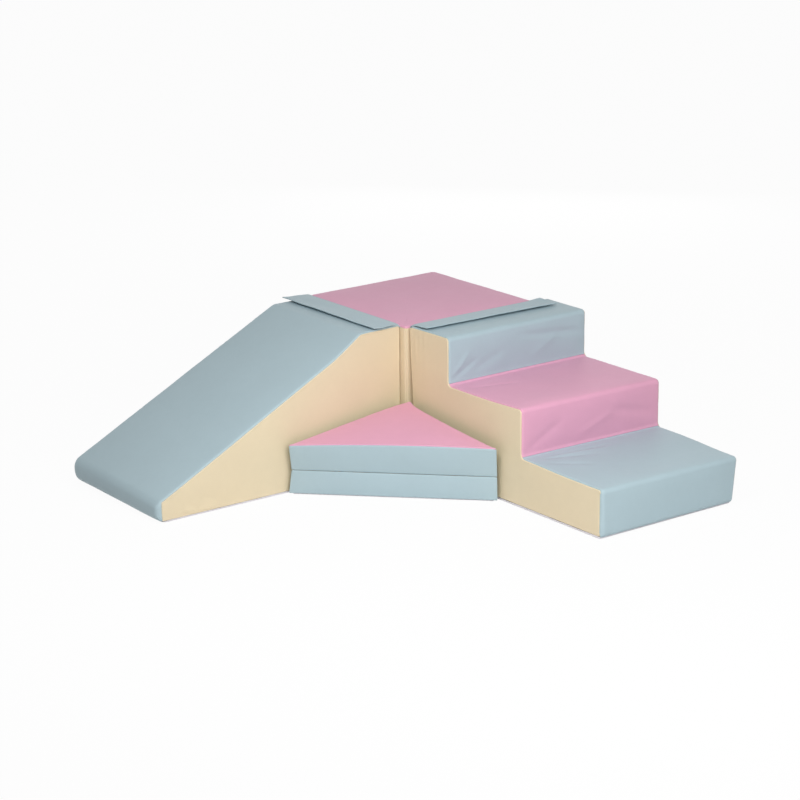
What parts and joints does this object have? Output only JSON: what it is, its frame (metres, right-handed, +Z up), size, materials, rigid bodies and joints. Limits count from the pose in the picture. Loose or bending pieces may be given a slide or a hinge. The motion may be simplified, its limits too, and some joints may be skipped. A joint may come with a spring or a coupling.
{
  "type": "soft play slide",
  "caption": "Foam play corner for toddlers: a padded slide and padded steps meet at a corner block, with a folding triangular mat between them.",
  "frame": {"origin": "centre of the corner block's base, on the floor", "axes": "+Z up, the slide runs out towards -X and the steps run out towards -Y"},
  "size_m": [1.4738, 1.4038, 0.4614],
  "materials": {
    "leatherette_blue": "soft coated cloth, low sheen, fine grain",
    "leatherette_pink": "soft coated cloth, low sheen, fine grain",
    "leatherette_cream": "soft coated cloth, low sheen, fine grain",
    "base_cloth": "matt woven non-slip cloth",
    "foam": "firm open foam, matt",
    "hook_tape": "hook side of a touch-close tape",
    "loop_tape": "loop side of a touch-close tape",
    "zip_tape": "woven tape with a moulded coil",
    "zip_slider": "smooth cast metal"
  },
  "bodies": {
    "corner_block": {"block_core": "foam", "block_base": "base_cloth", "block_top": "leatherette_pink", "block_slide_side": "leatherette_cream", "block_end_side": "leatherette_cream", "block_steps_side": "leatherette_cream", "block_back_side": "leatherette_cream", "block_zip_tape": "zip_tape"},
    "block_slider": {"block_zip_slider": "zip_slider"},
    "slide_top_flap": {"slide_flap": "leatherette_blue", "slide_flap_hook_tape": "hook_tape"},
    "steps_top_flap": {"steps_flap": "leatherette_blue", "steps_flap_hook_tape": "hook_tape"},
    "slide": {"slide_core": "foam", "slide_top": "leatherette_blue", "slide_inner_side": "leatherette_cream", "slide_outer_side": "leatherette_cream", "slide_back": "leatherette_cream", "slide_base": "base_cloth", "slide_zip_tape": "zip_tape", "slide_flap_loop_tape": "loop_tape"},
    "slide_slider": {"slide_zip_slider": "zip_slider"},
    "steps": {"steps_bottom_core": "foam", "steps_middle_core": "foam", "steps_top_core": "foam", "steps_top_cover": "leatherette_blue", "steps_middle_cover": "leatherette_pink", "steps_bottom_cover": "leatherette_blue", "steps_inner_side": "leatherette_cream", "steps_outer_side": "leatherette_cream", "steps_back": "leatherette_cream", "steps_base": "base_cloth", "steps_zip_tape": "zip_tape", "steps_flap_loop_tape": "loop_tape"},
    "steps_slider": {"steps_zip_slider": "zip_slider"},
    "mat_lower_pad": {"mat_lower_core": "foam", "mat_lower_base": "base_cloth", "mat_lower_inner_face": "leatherette_cream", "mat_lower_front_band": "leatherette_blue", "mat_lower_steps_band": "leatherette_blue", "mat_lower_slide_band": "leatherette_blue", "mat_lower_fold_leaf": "base_cloth", "mat_lower_zip_tape": "zip_tape"},
    "mat_lower_slider": {"mat_lower_zip_slider": "zip_slider"},
    "mat_upper_pad": {"mat_upper_core": "foam", "mat_upper_top": "leatherette_pink", "mat_upper_inner_face": "leatherette_cream", "mat_upper_front_band": "leatherette_blue", "mat_upper_steps_band": "leatherette_blue", "mat_upper_slide_band": "leatherette_blue", "mat_upper_fold_leaf": "base_cloth", "mat_upper_zip_tape": "zip_tape"},
    "mat_upper_slider": {"mat_upper_zip_slider": "zip_slider"}
  },
  "joints": [
    {"name": "slide_pull", "type": "slide", "parent": "corner_block", "child": "slide", "axis": [-1, 0, 0], "range_m": [0, 0.3]},
    {"name": "steps_pull", "type": "slide", "parent": "corner_block", "child": "steps", "axis": [0, -1, 0], "range_m": [0, 0.3]},
    {"name": "mat_pull", "type": "slide", "parent": "corner_block", "child": "mat_lower_pad", "axis": [-0.7071, -0.7071, 0], "range_m": [0, 0.35]},
    {"name": "mat_fold", "type": "hinge", "parent": "mat_lower_pad", "child": "mat_upper_pad", "pos_m": [-0.479, -0.479, 0.077], "axis": [0.7071, -0.7071, 0], "range_deg": [0, 165]},
    {"name": "slide_flap_lift", "type": "hinge", "parent": "corner_block", "child": "slide_top_flap", "pos_m": [-0.255, 0.006, 0.4554], "axis": [0, 1, 0], "range_deg": [0, 95]},
    {"name": "steps_flap_lift", "type": "hinge", "parent": "corner_block", "child": "steps_top_flap", "pos_m": [0.0155, -0.255, 0.4554], "axis": [-1, 0, 0], "range_deg": [0, 95]},
    {"name": "block_zip_run", "type": "slide", "parent": "corner_block", "child": "block_slider", "axis": [1, 0, 0], "range_m": [0, 0.382]},
    {"name": "slide_zip_run", "type": "slide", "parent": "slide", "child": "slide_slider", "axis": [1, 0, 0], "range_m": [0, 0.687]},
    {"name": "steps_zip_run", "type": "slide", "parent": "steps", "child": "steps_slider", "axis": [0, -1, 0], "range_m": [0, 0.422]},
    {"name": "mat_lower_zip_run", "type": "slide", "parent": "mat_lower_pad", "child": "mat_lower_slider", "axis": [0, -1, 0], "range_m": [0, 0.25]},
    {"name": "mat_upper_zip_run", "type": "slide", "parent": "mat_upper_pad", "child": "mat_upper_slider", "axis": [0.0069, -0.9931, -0.1167], "range_m": [0, 0.25]}
  ]
}
